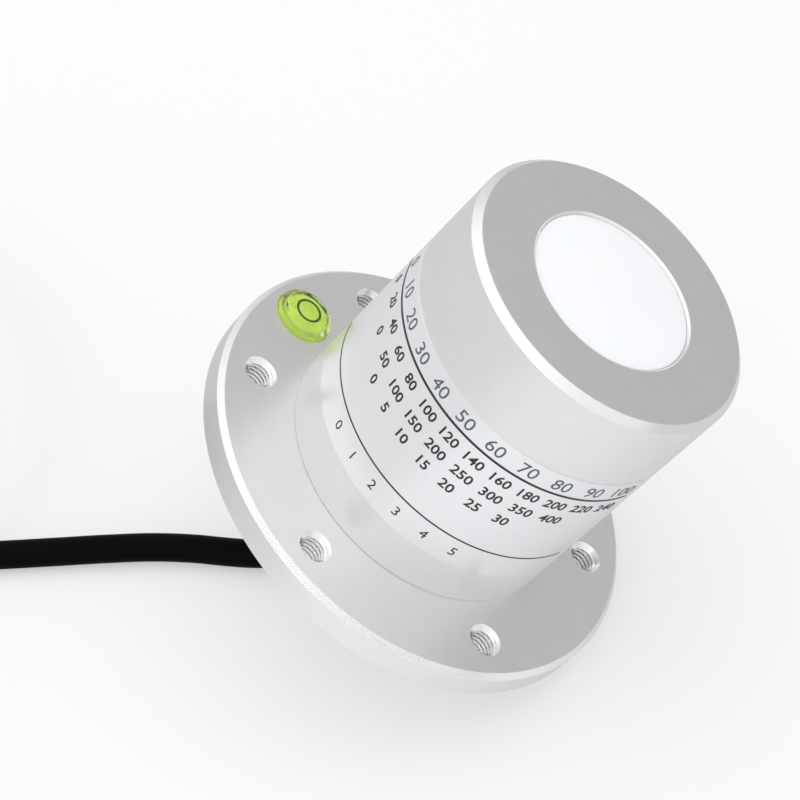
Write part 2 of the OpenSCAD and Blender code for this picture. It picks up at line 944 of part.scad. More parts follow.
// A flat loop round the bundle's section, with its ends twisted together on top
module tie_loop() {
    inner_x = coil_inner - cable_r - tie_room;
    outer_x = coil_outer + cable_r + tie_room;
    top_z = coil_end_z + cable_r + tie_room;
    difference() {
        translate([inner_x - tie_t, -tie_w / 2, 0])
            cube([outer_x - inner_x + 2 * tie_t, tie_w, top_z + tie_t]);
        translate([inner_x, -tie_w / 2 - over, tie_t])
            cube([outer_x - inner_x, tie_w + 2 * over, top_z - tie_t]);
    }
    translate([(inner_x + outer_x) / 2, 0, top_z + tie_t + tie_knot_d / 2 - fit])
        rotate([0, 90, 0])
            cylinder(h = tie_knot_length, d = tie_knot_d, center = true);
}

module coil_ties() {
    color([0.12, 0.12, 0.12])
        translate([coil_x, coil_y, 0])
            for (turn = tie_turns)
                rotate([0, 0, turn])
                    tie_loop();
}

// The free end's cores curl with the coil and sink towards the turn below
core_lengths = [30, 27, 32, 28];
core_curl = 30;
core_sink = 2.2;
core_steps = 9;
core_start = 1;
core_spread = 0.9;
coil_inwards = [cos(coil_start), sin(coil_start), 0] * -1;
function end_core_point(k, w) =
    let (from = core_offset(k), apart = 1 + core_spread * w ^ 1.5)
    let (length = core_start + (core_lengths[k] - core_start) * w)
    let (bend = max(length - core_start, 0) / core_curl * 180 / PI)
    coil_leave
        + coil_heading * (core_start + core_curl * sin(bend))
        + coil_inwards * (core_curl * (1 - cos(bend)) + from[0] * apart)
        + [0, 0, from[1] - core_sink * w ^ 2];
function end_core_foot(k) =
    let (from = core_offset(k))
    coil_leave + coil_inwards * from[0] + [0, 0, from[1]];
function end_core_route(k) = concat(
    [end_core_foot(k)],
    [for (s = [0:1:core_steps]) end_core_point(k, s / core_steps)]
);

module end_cores() {
    for (k = [0:1:pole_count - 1])
        color(core_colours[k])
            tube(end_core_route(k), core_d / 2, 6);
}

module core_tips() {
    color("silver")
        for (k = [0:1:pole_count - 1])
            let (route = end_core_route(k), end = route[last(route)], ahead = facing(route, last(route)))
            tube([end, beyond(end, ahead, bare_length / 2), beyond(end, ahead, bare_length)], core_d / 3, 6);
}

base_flange();
housing();
housing_seal();
housing_screws();
housing_label();
window_diffuser();
window_seal();
filter_holder();
colour_filter();
infrared_filter();
holder_screws();
photodiode();
sensor_board();
sensor_board_screws();
sensor_leads();
board_posts();
main_board();
main_board_screws();
processor_chip();
driver_chip();
board_capacitors();
terminal_block();
terminal_screws();
gland_body();
gland_washer();
gland_insert();
gland_cap();
gland_nut();
cable_entry();
entry_cores();
level_vial();
level_fluid();
level_plug();
cable_lead();
cable_coil();
coil_ties();
end_cores();
core_tips();
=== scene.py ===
import json
import math

import bmesh
import bpy
from mathutils import Matrix, Vector


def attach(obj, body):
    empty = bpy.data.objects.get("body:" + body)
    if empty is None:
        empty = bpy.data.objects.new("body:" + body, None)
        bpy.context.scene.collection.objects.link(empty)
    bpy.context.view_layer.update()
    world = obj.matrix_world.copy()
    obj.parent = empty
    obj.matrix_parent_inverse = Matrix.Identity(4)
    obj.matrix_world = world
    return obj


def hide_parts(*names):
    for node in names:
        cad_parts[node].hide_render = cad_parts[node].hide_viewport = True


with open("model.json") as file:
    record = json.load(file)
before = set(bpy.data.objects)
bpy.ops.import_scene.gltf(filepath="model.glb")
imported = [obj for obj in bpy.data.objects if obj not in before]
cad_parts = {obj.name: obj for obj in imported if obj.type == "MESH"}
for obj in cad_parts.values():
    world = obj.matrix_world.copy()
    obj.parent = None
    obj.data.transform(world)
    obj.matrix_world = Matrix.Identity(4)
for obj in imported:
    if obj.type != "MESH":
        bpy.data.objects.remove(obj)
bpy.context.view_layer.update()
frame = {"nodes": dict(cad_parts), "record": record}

mm = 0.001

# Camera. A long lens in front of the sensor and a little to its right, which looks down
# at it at 45 degrees.
def in_scene(name, data):
    """A new object of the scene, from its data."""
    thing = bpy.data.objects.new(name, data)
    bpy.context.scene.collection.objects.link(thing)
    return thing


lens = bpy.data.cameras.new("camera")
lens.sensor_width = 36
lens.lens = 128.67
camera = in_scene("camera", lens)
camera.location = (0.037656, -0.327837, 0.373029)
camera.rotation_euler = (math.radians(45), 0, math.radians(8.5005))
bpy.context.scene.camera = camera

# Flange. A disc turned from aluminium bar, with six tapped mounting holes, a pocket for the
# level and a ring that centres the housing; blasted and clear anodised, its edges cut bright
# afterwards. It leans on its lower rim.
mounts = {mount["name"]: mount for mount in frame["record"]["mounts"]}
lean_axis = Vector(mounts["tapped_holes"]["axis"])
bore_middle = Vector(mounts["tapped_holes"]["pos_m"])
underside = Vector(mounts["base_face"]["pos_m"])
seat = bore_middle - lean_axis * (bore_middle - underside).dot(lean_axis)
sensor = Matrix.Translation(seat) @ Matrix.Rotation(math.atan2(lean_axis.x, lean_axis.z), 4, "Y")


def node_points(node):
    """A CAD node's points as the sensor sees them, in millimetres from the flange's underside."""
    to_sensor = sensor.inverted()
    return [to_sensor @ corner.co / mm for corner in frame["nodes"][node].data.vertices]


def node_reach(node):
    """A CAD node's outer radius, and its lowest and highest place along the sensor's axis."""
    points = node_points(node)
    heights = [point.z for point in points]
    return max(point.xy.length for point in points), min(heights), max(heights)


def softened(outline):
    """An outline's (radius, height, softening, surface) corners, each rounded off by its softening."""
    steps = 3
    points = []
    for k, (radius, height, softening, surface) in enumerate(outline):
        corner = Vector((radius, height))
        back = Vector(outline[k - 1][:2]) - corner
        ahead = Vector(outline[(k + 1) % len(outline)][:2]) - corner
        if softening == 0:
            points.append((corner, surface))
            continue
        start = corner + back.normalized() * min(softening, 0.45 * back.length)
        end = corner + ahead.normalized() * min(softening, 0.45 * ahead.length)
        for step in range(steps + 1):
            share = step / steps
            rounded = start * (1 - share) ** 2 + corner * 2 * share * (1 - share) + end * share ** 2
            points.append((rounded, surface))
    return points


def add_turned(shape, outline, place=(0, 0), steps=192):
    """Adds an outline turned round an upright axis at a place, all in millimetres."""
    points = softened(outline)
    rings = []
    centre = Vector((*place, 0))
    for step in range(steps):
        turn = 2 * math.pi * step / steps
        across = Vector((math.cos(turn), math.sin(turn), 0))
        rings.append([shape.verts.new((centre + across * point.x + Vector((0, 0, point.y))) * mm)
                      for point, surface in points])
    for step, ring in enumerate(rings):
        following = rings[(step + 1) % steps]
        for k, (point, surface) in enumerate(points):
            n = (k + 1) % len(points)
            if point.x == 0 and points[n][0].x == 0:
                continue
            face = shape.faces.new((ring[k], following[k], following[n], ring[n]))
            face.material_index = surface


def skinned(shape, rings, surface=0, closed=False):
    """Adds faces from each ring of points to the next, and over the two ends unless the rings close up."""
    faces = []
    for ring, following in zip(rings, (rings[1:] + rings[:1]) if closed else rings[1:]):
        for k in range(len(ring)):
            n = (k + 1) % len(ring)
            faces.append(shape.faces.new((ring[k], ring[n], following[n], following[k])))
    if not closed:
        faces += [shape.faces.new(list(reversed(rings[0]))), shape.faces.new(rings[-1])]
    for face in faces:
        face.material_index = surface
    return faces


sharp_turn = math.radians(30)


def made(name, shape, materials, place=sensor, sharp=sharp_turn):
    """A piece of the sensor from its shape, shaded smooth except at its sharp edges."""
    bmesh.ops.remove_doubles(shape, verts=shape.verts, dist=1e-7)
    mesh = bpy.data.meshes.new(name)
    shape.to_mesh(mesh)
    shape.free()
    for material in materials:
        mesh.materials.append(material)
    mesh.shade_smooth()
    mesh.set_sharp_from_angle(angle=sharp)
    piece = in_scene(name, mesh)
    piece.matrix_world = place
    return piece


def machined(piece, tools):
    """Cuts the shape of the tools out of a piece."""
    cutter = made("cutter", tools, [], piece.matrix_world)
    bpy.context.view_layer.update()
    cut = piece.modifiers.new("cut", "BOOLEAN")
    cut.object = cutter
    cut.operation = "DIFFERENCE"
    cut.solver = "EXACT"
    finished = bpy.data.meshes.new_from_object(piece.evaluated_get(bpy.context.evaluated_depsgraph_get()))
    piece.modifiers.clear()
    piece.data = finished
    bpy.data.objects.remove(cutter)
    piece.data.shade_smooth()
    piece.data.set_sharp_from_angle(angle=sharp_turn)
    flats = piece.modifiers.new("flats", "WEIGHTED_NORMAL")
    flats.keep_sharp = True


def fixed(piece, slot, *nodes):
    """Puts a finished piece in the place of its CAD nodes, on the sensor's body."""
    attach(piece, "root")
    if nodes:
        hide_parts(*nodes)


def effect(name, inputs, outputs):
    """An empty node group for an effect on a surface, with its two end nodes."""
    group = bpy.data.node_groups.new(name, "ShaderNodeTree")
    for socket, value in inputs.items():
        made_socket = group.interface.new_socket(name=socket, in_out="INPUT", socket_type="NodeSocketFloat")
        made_socket.default_value = value
    for socket in outputs:
        group.interface.new_socket(name=socket, in_out="OUTPUT", socket_type="NodeSocketFloat")
    return group, group.nodes.new("NodeGroupInput"), group.nodes.new("NodeGroupOutput")


def feed(tree, socket, value):
    """Gives a socket its number or colour, or a link from another socket."""
    if isinstance(value, bpy.types.NodeSocket):
        tree.links.new(value, socket)
    else:
        socket.default_value = value


def calculated(tree, operation, *values, clamp=False):
    """A Math node on sockets or numbers; gives its output."""
    node = tree.nodes.new("ShaderNodeMath")
    node.operation = operation
    node.use_clamp = clamp
    for socket, value in zip(node.inputs, values):
        feed(tree, socket, value)
    return node.outputs[0]


def noise(tree, scale, detail=3, roughness=0.55):
    """A Noise node on the piece's own coordinates; gives its value."""
    node = tree.nodes.new("ShaderNodeTexNoise")
    node.inputs["Detail"].default_value = detail
    node.inputs["Roughness"].default_value = roughness
    feed(tree, node.inputs["Scale"], scale)
    tree.links.new(tree.nodes.new("ShaderNodeTexCoord").outputs["Object"], node.inputs["Vector"])
    return node.outputs["Fac"]


def separated(tree, kind="Object"):
    """The X, Y and Z of the piece's own coordinates, or of another kind."""
    node = tree.nodes.new("ShaderNodeSeparateXYZ")
    tree.links.new(tree.nodes.new("ShaderNodeTexCoord").outputs[kind], node.inputs["Vector"])
    return node.outputs["X"], node.outputs["Y"], node.outputs["Z"]


# The grain of a surface: fine relief, and a slow change of shade and gloss
grain, given, result = effect("grain", {"Scale": 4000, "Mottle": 0.1}, ["Height", "Shade", "Gloss"])
fine = noise(grain, given.outputs["Scale"])
slow = noise(grain, calculated(grain, "DIVIDE", given.outputs["Scale"], 22.0), 4)
swing = calculated(grain, "MULTIPLY", calculated(grain, "SUBTRACT", slow, 0.5), given.outputs["Mottle"])
grain.links.new(fine, result.inputs["Height"])
grain.links.new(calculated(grain, "ADD", swing, 1.0), result.inputs["Shade"])
gloss_change = calculated(grain, "MULTIPLY_ADD", fine, given.outputs["Mottle"], swing)
grain.links.new(gloss_change, result.inputs["Gloss"])

# Worn edges: where the surface turns within a small radius, broken up by noise
wear, given, result = effect("worn_edges", {"Radius": 0.0003, "Amount": 1}, ["Mask"])
turning = wear.nodes.new("ShaderNodeBevel")
turning.samples = 6
wear.links.new(given.outputs["Radius"], turning.inputs["Radius"])
facing = wear.nodes.new("ShaderNodeVectorMath")
facing.operation = "DOT_PRODUCT"
wear.links.new(turning.outputs["Normal"], facing.inputs[0])
wear.links.new(wear.nodes.new("ShaderNodeNewGeometry").outputs["Normal"], facing.inputs[1])
bend = calculated(wear, "SUBTRACT", 1.0, facing.outputs["Value"])
broken = calculated(wear, "MULTIPLY", noise(wear, 900.0, 5), 14.0)
rubbed = calculated(wear, "MULTIPLY", bend, broken)
worn = calculated(wear, "MULTIPLY", rubbed, given.outputs["Amount"], clamp=True)
wear.links.new(worn, result.inputs["Mask"])

# Specks: a few tiny dark dots of dust, or pits, one at most in each cell
specks, given, result = effect("specks", {"Scale": 260, "Share": 0.03, "Size": 0.05}, ["Mask"])
cells = specks.nodes.new("ShaderNodeTexVoronoi")
specks.links.new(specks.nodes.new("ShaderNodeTexCoord").outputs["Object"], cells.inputs["Vector"])
specks.links.new(given.outputs["Scale"], cells.inputs["Scale"])
luck = specks.nodes.new("ShaderNodeSeparateColor")
specks.links.new(cells.outputs["Color"], luck.inputs["Color"])
chosen = calculated(specks, "LESS_THAN", luck.outputs["Red"], given.outputs["Share"])
wide = calculated(specks, "MULTIPLY", luck.outputs["Green"], given.outputs["Size"])
inside = calculated(specks, "LESS_THAN", cells.outputs["Distance"], wide)
specks.links.new(calculated(specks, "MULTIPLY", chosen, inside), result.inputs["Mask"])


def placed(tree, group, **values):
    """An effect's group in a material, with its own values."""
    node = tree.nodes.new("ShaderNodeGroup")
    node.node_tree = group
    for socket, value in values.items():
        node.inputs[socket].default_value = value
    return node


def blended(tree, share, plain, over, kind="MIX"):
    """A colour laid over another one by a share."""
    node = tree.nodes.new("ShaderNodeMix")
    node.data_type = "RGBA"
    node.blend_type = kind
    for socket, value in (("Factor_Float", share), ("A_Color", plain), ("B_Color", over)):
        target = next(one for one in node.inputs if one.identifier == socket)
        feed(tree, target, (*value, 1) if isinstance(value, tuple) else value)
    return next(one for one in node.outputs if one.identifier == "Result_Color")


def finish(name, colour, gloss, grain_scale, relief, mottle=0.08, plain=None, edge=None, dust=0.0,
           height=None, marks=None):
    """A material: colour and roughness that vary with a grain, relief in metres, worn edges, dust, marks."""
    material = bpy.data.materials.new(name)
    material.use_nodes = True
    tree = material.node_tree
    shader = tree.nodes["Principled BSDF"]
    for socket, value in (plain or {}).items():
        shader.inputs[socket].default_value = value
    surface = placed(tree, grain, Scale=grain_scale, Mottle=mottle)
    shade = tree.nodes.new("ShaderNodeCombineColor")
    for channel in ("Red", "Green", "Blue"):
        tree.links.new(surface.outputs["Shade"], shade.inputs[channel])
    paint = blended(tree, 1.0, colour, shade.outputs["Color"], "MULTIPLY")
    if marks:
        paint = blended(tree, marks[0](tree), paint, marks[1])
    if edge:
        rubbed = placed(tree, wear, Radius=edge[0] * mm, Amount=edge[1])
        paint = blended(tree, rubbed.outputs["Mask"], paint, edge[2])
    if dust:
        dots = placed(tree, specks, Share=dust)
        thick = calculated(tree, "MULTIPLY", dots.outputs["Mask"], 0.75)
        paint = blended(tree, thick, paint, (0.05, 0.045, 0.04))
    tree.links.new(paint, shader.inputs["Base Color"])
    rough = calculated(tree, "ADD", surface.outputs["Gloss"], gloss - mottle / 2, clamp=True)
    tree.links.new(rough, shader.inputs["Roughness"])
    bump = tree.nodes.new("ShaderNodeBump")
    bump.inputs["Strength"].default_value = 1
    bump.inputs["Distance"].default_value = relief
    tree.links.new(surface.outputs["Height"], bump.inputs["Height"])
    if height is not None:
        coarse = tree.nodes.new("ShaderNodeBump")
        coarse.inputs["Distance"].default_value = height[1]
        tree.links.new(height[0](tree), coarse.inputs["Height"])
        tree.links.new(coarse.outputs["Normal"], bump.inputs["Normal"])
    tree.links.new(bump.outputs["Normal"], shader.inputs["Normal"])
    return material


def cutter_chatter(tree):
    """Where a chattering cutter has left fine dull marks, on one stretch of the flange's rim."""
    x, y, z = separated(tree)
    away = calculated(tree, "ABSOLUTE", calculated(tree, "ADD", calculated(tree, "ARCTAN2", y, x), 1.85))
    stretch = calculated(tree, "MULTIPLY_ADD", away, -5.0, 3.1, clamp=True)
    out_squared = calculated(tree, "MULTIPLY_ADD", x, x, calculated(tree, "MULTIPLY", y, y))
    at_rim = calculated(tree, "GREATER_THAN", out_squared, 0.037 ** 2)
    marks = calculated(tree, "MULTIPLY_ADD", noise(tree, 5200.0, 1, 0.5), 7.0, -3.1, clamp=True)
    return calculated(tree, "MULTIPLY", calculated(tree, "MULTIPLY", marks, stretch), at_rim)


bare_metal = {"Metallic": 1.0}
blasted = finish(
    "blasted_aluminium", (0.88, 0.88, 0.874), 0.38, 5200, 0.000004, 0.05, bare_metal,
    edge=(0.22, 0.35, (0.96, 0.96, 0.95)), dust=0.02,
)
bright_cut = finish(
    "bright_cut_bevel", (0.97, 0.97, 0.965), 0.24, 2600, 0.000004, 0.04, bare_metal,
    marks=(cutter_chatter, (0.84, 0.84, 0.84)),
)
# The housing's side: a rougher copy of the blasted finish, and a little darker as painted shade.
shaded_blasted_side = finish(
    "shaded_blasted_side", (0.865, 0.865, 0.86), 0.5, 5200, 0.000004, 0.05, bare_metal,
    edge=(0.22, 0.35, (0.96, 0.96, 0.95)), dust=0.02,
)
cut_thread = finish("tapped_thread", (0.86, 0.86, 0.855), 0.28, 3800, 0.000004, 0.12, bare_metal)

flange_r, ring_top = node_reach("base_flange")[::2]
housing_r, flange_t, housing_top = node_reach("housing")
flange_points = node_points("base_flange")
rim_heights = [p.z for p in flange_points if abs(p.xy.length - flange_r) < 0.02]
foot_bevel = min(rim_heights)
upper_bevel = flange_t - max(rim_heights)
at_ring_top = [p.xy.length for p in flange_points if p.z > ring_top - 0.01]
ring_r = max(at_ring_top)
ring_bore_r = min(radius for radius in at_ring_top if radius > 8)
gland_hole_r = min(p.xy.length for p in flange_points)
washer_high = node_reach("gland_washer")[2]
recess_r = min(p.xy.length for p in flange_points if abs(p.z) < 0.01)
groove_low, groove_high, groove_r = flange_t + 1.1, flange_t + 3, ring_r - 1.25
body, bevel, thread, side = 0, 1, 2, 3
flange_shape = bmesh.new()
add_turned(flange_shape, [
    (recess_r, 0, 0.1, body),
    (flange_r - foot_bevel, 0, 0.06, bevel),
    (flange_r, foot_bevel, 0.06, body),
    (flange_r, flange_t - upper_bevel, 0.05, bevel),
    (flange_r - upper_bevel, flange_t, 0.05, body),
    (ring_r, flange_t, 0, body),
    (ring_r, groove_low, 0.05, body),
    (groove_r, groove_low, 0, body),
    (groove_r, groove_high, 0, body),
    (ring_r, groove_high, 0.05, body),
    (ring_r, ring_top, 0.3, body),
    (ring_bore_r, ring_top, 0.2, body),
    (ring_bore_r, flange_t, 0, body),
    (gland_hole_r, flange_t, 0.1, body),
    (gland_hole_r, washer_high, 0.1, body),
    (recess_r, washer_high, 0, body),
])
flange = made("turned_flange", flange_shape, [blasted, bright_cut, cut_thread])

tap_r = mounts["tapped_holes"]["dims"]["hole_r_mm"]
tap_circle_r = mounts["tapped_holes"]["dims"]["pcd_mm"] / 2
tap_count = mounts["tapped_holes"]["dims"]["count"]
tap_depth = 0.4
tap_pitch = 0.8
tap_columns, tap_rows_per_pitch = 64, 12
mouth_r = 2.95
overrun = 1


def tap_radius(height, turn):
    """Radius of a tapped hole: its thread, widened by a countersink above and a bevel below."""
    phase = (height / tap_pitch - turn / (2 * math.pi)) % 1
    aside = abs(phase - 0.5)
    cut_share = min(max((0.375 - aside) / 0.3125, 0), 1)
    mouth = mouth_r + (height - flange_t) + 0.35 * max(height - flange_t + 0.12, 0)
    foot = tap_r + tap_depth + 0.1 - height
    return max(tap_r + tap_depth * cut_share, mouth, foot)


def add_tap(shape, place):
    """Adds the shape that a tap and a countersink cut out of the flange at a place."""
    rows = round((flange_t + 0.4) * tap_rows_per_pitch / tap_pitch)
    heights = [-0.1 + (flange_t + 0.3) * k / rows for k in range(rows + 1)]
    heights = [-overrun] + heights + [flange_t + overrun]
    rings = []
    for height in heights:
        level = min(max(height, -0.1), flange_t + 0.2)
        ring = []
        for column in range(tap_columns):
            turn = 2 * math.pi * column / tap_columns
            radius = tap_radius(level, turn)
            x, y = place[0] + radius * math.cos(turn), place[1] + radius * math.sin(turn)
            ring.append(shape.verts.new((x * mm, y * mm, height * mm)))
        rings.append(ring)
    for face in skinned(shape, rings):
        face.material_index = bevel if face.verts[0].co.z / mm > flange_t - (mouth_r - tap_r) else thread


def round_the_axis(count, radius, first=0.0):
    """Places on a circle round the sensor's axis; the first angle is in degrees."""
    turns = [math.radians(first) + 2 * math.pi * k / count for k in range(count)]
    return [(radius * math.cos(turn), radius * math.sin(turn)) for turn in turns]


def add_rod(shape, place, low, high, radius, steps):
    """Adds a round rod between two heights."""
    outline = [(0, low, 0, body), (radius, low, 0, body), (radius, high, 0, body), (0, high, 0, body)]
    add_turned(shape, outline, place, steps)


level_r, level_low, level_top = 5.0, *node_reach("level_vial")[1:]
level_corners = node_points("level_vial")
level_middle = sum((p.xy for p in level_corners), Vector((0, 0))) / len(level_corners)
glue_t, pocket_bevel = 0.15, 0.12
pocket_r, pocket_low = level_r + glue_t, level_low - glue_t
screw_count, screw_first = 4, 30
screw_hole_r, head_hole_r = 1.65, 2.95
shank_r, head_r, head_t = 1.5, 2.8, 1.7
screw_circle_r = node_reach("housing_screws")[0] - head_r
post_circle_r = node_reach("main_board_screws")[0] - head_r
post_hole_low = ring_top - 4.15
screw_hole = [
    (0, -overrun, 0, thread),
    (head_hole_r, -overrun, 0, thread),
    (head_hole_r, 0.05, 0, thread),
    (screw_hole_r, head_t, 0, thread),
    (screw_hole_r, flange_t + overrun, 0, thread),
    (0, flange_t + overrun, 0, thread),
]
holes = bmesh.new()
for hole in round_the_axis(tap_count, tap_circle_r):
    add_tap(holes, hole)
for hole in round_the_axis(screw_count, screw_circle_r, screw_first):
    add_turned(holes, screw_hole, hole, 48)
for hole in round_the_axis(3, post_circle_r, 60):
    add_rod(holes, hole, post_hole_low, ring_top + overrun, screw_hole_r, 32)
add_turned(holes, [
    (0, pocket_low, 0, body),
    (pocket_r, pocket_low, 0, body),
    (pocket_r, flange_t - pocket_bevel, 0, bevel),
    (pocket_r + pocket_bevel, flange_t, 0, body),
    (pocket_r + pocket_bevel, flange_t + overrun, 0, body),
    (0, flange_t + overrun, 0, body),
], level_middle, 96)
machined(flange, holes)
fixed(flange, "bare_aluminium", "base_flange")

# Cable gland, nickel plated brass. Its body goes through the middle of the flange, with a washer
# under its hexagon and a nut inside, and its domed cap squeezes a rubber insert round the cable.
rubber = finish("moulded_rubber", (0.022, 0.022, 0.023), 0.62, 2600, 0.000012, 0.12)
nickel = finish("nickel_plate", (0.66, 0.64, 0.6), 0.26, 3200, 0.000002, 0.08, bare_metal,
                edge=(0.25, 0.4, (0.86, 0.84, 0.8)))
cable_r = 2.5
wrench_r, neck_low, thread_top = node_reach("gland_body")
cap_low, cap_high = node_reach("gland_cap")[1:]
insert_low = node_reach("gland_insert")[1]
wrench_flat = wrench_r * math.cos(math.radians(30))
hexagon_low = cap_high + 0.2
thread_r = gland_hole_r - 0.15
bore_r = cable_r + 0.3
neck_r = bore_r + 1.8


def add_waste(shape, low, high, flat):
    """Adds the ring that a mill takes off round a hexagon, between two heights."""
    rings = []
    corner = flat / math.cos(math.radians(30))
    for height, radius in ((low, corner), (high, corner), (high, 3 * flat), (low, 3 * flat)):
        rings.append([shape.verts.new((x * mm, y * mm, height * mm)) for x, y in round_the_axis(6, radius)])
    skinned(shape, rings, closed=True)


shape = bmesh.new()
add_turned(shape, [
    (bore_r, neck_low, 0.1, body),
    (neck_r, neck_low, 0.2, body),
    (neck_r, hexagon_low, 0, body),
    (wrench_flat, hexagon_low, 0.1, body),
    (wrench_r + 0.2, hexagon_low + 0.6, 0.1, body),
    (wrench_r + 0.2, -0.25, 0.1, body),
    (wrench_flat + 0.2, 0, 0.1, body),
    (thread_r, 0, 0, body),
    (thread_r, thread_top, 0.4, body),
    (bore_r, thread_top, 0.2, body),
], steps=96)
gland_body = made("gland_body_turned", shape, [nickel])
waste = bmesh.new()
add_waste(waste, hexagon_low - 0.02, 0.02, wrench_flat)
machined(gland_body, waste)
fixed(gland_body, "nickel_plate", "gland_body")

dome_low = cap_high - 3.6
shape = bmesh.new()
add_turned(shape, [
    (bore_r, cap_low, 0.15, body),
    (neck_r - 0.2, cap_low, 0.4, body),
    (neck_r + 0.5, cap_low + 0.4, 0.4, body),
    (wrench_flat - 0.4, dome_low - 1.4, 0.9, body),
    (wrench_flat, dome_low, 0, body),
    (wrench_flat + 0.15, dome_low, 0.05, body),
    (wrench_r + 0.2, dome_low + 0.6, 0.1, body),
    (wrench_r + 0.2, cap_high - 0.6, 0.1, body),
    (wrench_flat, cap_high, 0.1, body),
    (neck_r + 0.15, cap_high, 0.1, body),
    (neck_r + 0.15, insert_low - 0.2, 0, body),
    (bore_r, insert_low - 0.2, 0, body),
], steps=96)
gland_cap = made("gland_cap_turned", shape, [nickel])
waste = bmesh.new()
add_waste(waste, dome_low - 0.02, cap_high + 0.02, wrench_flat)
machined(gland_cap, waste)
fixed(gland_cap, "nickel_plate", "gland_cap")


def dressed(node, material, softening=0.0):
    """Gives a CAD node that keeps its shape its material, and soft edges where they show."""
    piece = frame["nodes"][node]
    piece.data.materials.clear()
    piece.data.materials.append(material)
    if softening:
        rounding = piece.modifiers.new("rounding", "BEVEL")
        rounding.width = softening * mm
        rounding.segments = 2
        rounding.limit_method = "ANGLE"
        rounding.angle_limit = math.radians(40)


dressed("gland_washer", rubber, 0.1)
dressed("gland_insert", rubber, 0.1)
dressed("gland_nut", nickel, 0.15)

# Main circuit board on three brass posts, with its chips, capacitors, terminal block and screws.
# Bought parts, soldered or screwed on; the board is glass fibre with a green solder mask.
def copper_tracks(tree):
    """Relief of straight tracks under the solder mask."""
    place = tree.nodes.new("ShaderNodeTexCoord").outputs["Object"]
    tracks = tree.nodes.new("ShaderNodeTexBrick")
    tracks.offset = 0.37
    tracks.inputs["Scale"].default_value = 140
    tracks.inputs["Mortar Size"].default_value = 0.03
    tree.links.new(place, tracks.inputs["Vector"])
    return tracks.outputs["Fac"]


solder_mask = finish(
    "green_solder_mask", (0.012, 0.11, 0.04), 0.36, 1800, 0.000003, 0.1,
    edge=(0.3, 0.5, (0.28, 0.25, 0.12)), height=(copper_tracks, 0.00003),
)
brass = finish("turned_brass", (0.72, 0.52, 0.22), 0.3, 2400, 0.000003, 0.12, bare_metal,
               edge=(0.2, 0.4, (0.9, 0.75, 0.42)))
stainless = finish("stainless_steel", (0.6, 0.59, 0.57), 0.3, 2400, 0.000003, 0.12, bare_metal,
                   edge=(0.2, 0.4, (0.85, 0.84, 0.82)))
chip_resin = finish("moulded_chip_resin", (0.022, 0.022, 0.024), 0.55, 5200, 0.000004, 0.1)
drawn_can = finish("drawn_aluminium_can", (0.7, 0.71, 0.73), 0.3, 2000, 0.000003, 0.08, bare_metal,
                   edge=(0.15, 0.4, (0.9, 0.9, 0.9)))
terminal_plastic = finish("green_terminal_plastic", (0.02, 0.24, 0.09), 0.4, 3000, 0.000004, 0.08,
                          edge=(0.15, 0.25, (0.2, 0.5, 0.3)))
gilded = finish("gilded_pins", (0.83, 0.6, 0.25), 0.25, 2400, 0.000002, 0.08, bare_metal)
dressed("board_posts", brass, 0.12)
dressed("main_board", solder_mask, 0.08)
dressed("main_board_screws", stainless, 0.2)
dressed("processor_chip", chip_resin, 0.05)
dressed("driver_chip", chip_resin, 0.05)
dressed("board_capacitors", drawn_can, 0.35)
dressed("terminal_block", terminal_plastic, 0.15)
dressed("terminal_screws", stainless, 0.15)

# The cable's end inside the sensor. Its black jacket stops above the flange's ring, and its four
# coloured cores bend over into the terminal block.
jacket = finish("black_cable_jacket", (0.002, 0.0018, 0.002), 0.46, 1500, 0.000006, 0.08,
                {"Specular IOR Level": 0.04}, dust=0.03)


def swept(shape, path, radius, sides=12, surface=0):
    """Adds a round tube with closed ends along a path of points."""
    points = [Vector(point) * mm for point in path]
    across = Vector((0, 0, 1))
    rings = []
    for k, point in enumerate(points):
        heading = (points[min(k + 1, len(points) - 1)] - points[max(k - 1, 0)]).normalized()
        if abs(across.dot(heading)) > 0.999:
            across = Vector((0, 1, 0))
        across = (across - heading * across.dot(heading)).normalized()
        along = heading.cross(across)
        rings.append([
            shape.verts.new(point + (across * math.cos(turn) + along * math.sin(turn)) * radius * mm)
            for turn in [2 * math.pi * side / sides for side in range(sides)]
        ])
    skinned(shape, rings, surface)


jacket_low, jacket_top = node_reach("cable_entry")[1:]
shape = bmesh.new()
add_turned(shape, [(0, jacket_low, 0, body), (cable_r, jacket_low, 0, body),
                   (cable_r, jacket_top, 0.15, body), (0, jacket_top, 0, body)], steps=48)
fixed(made("cable_inside", shape, [jacket]), "cable_jacket", "cable_entry")

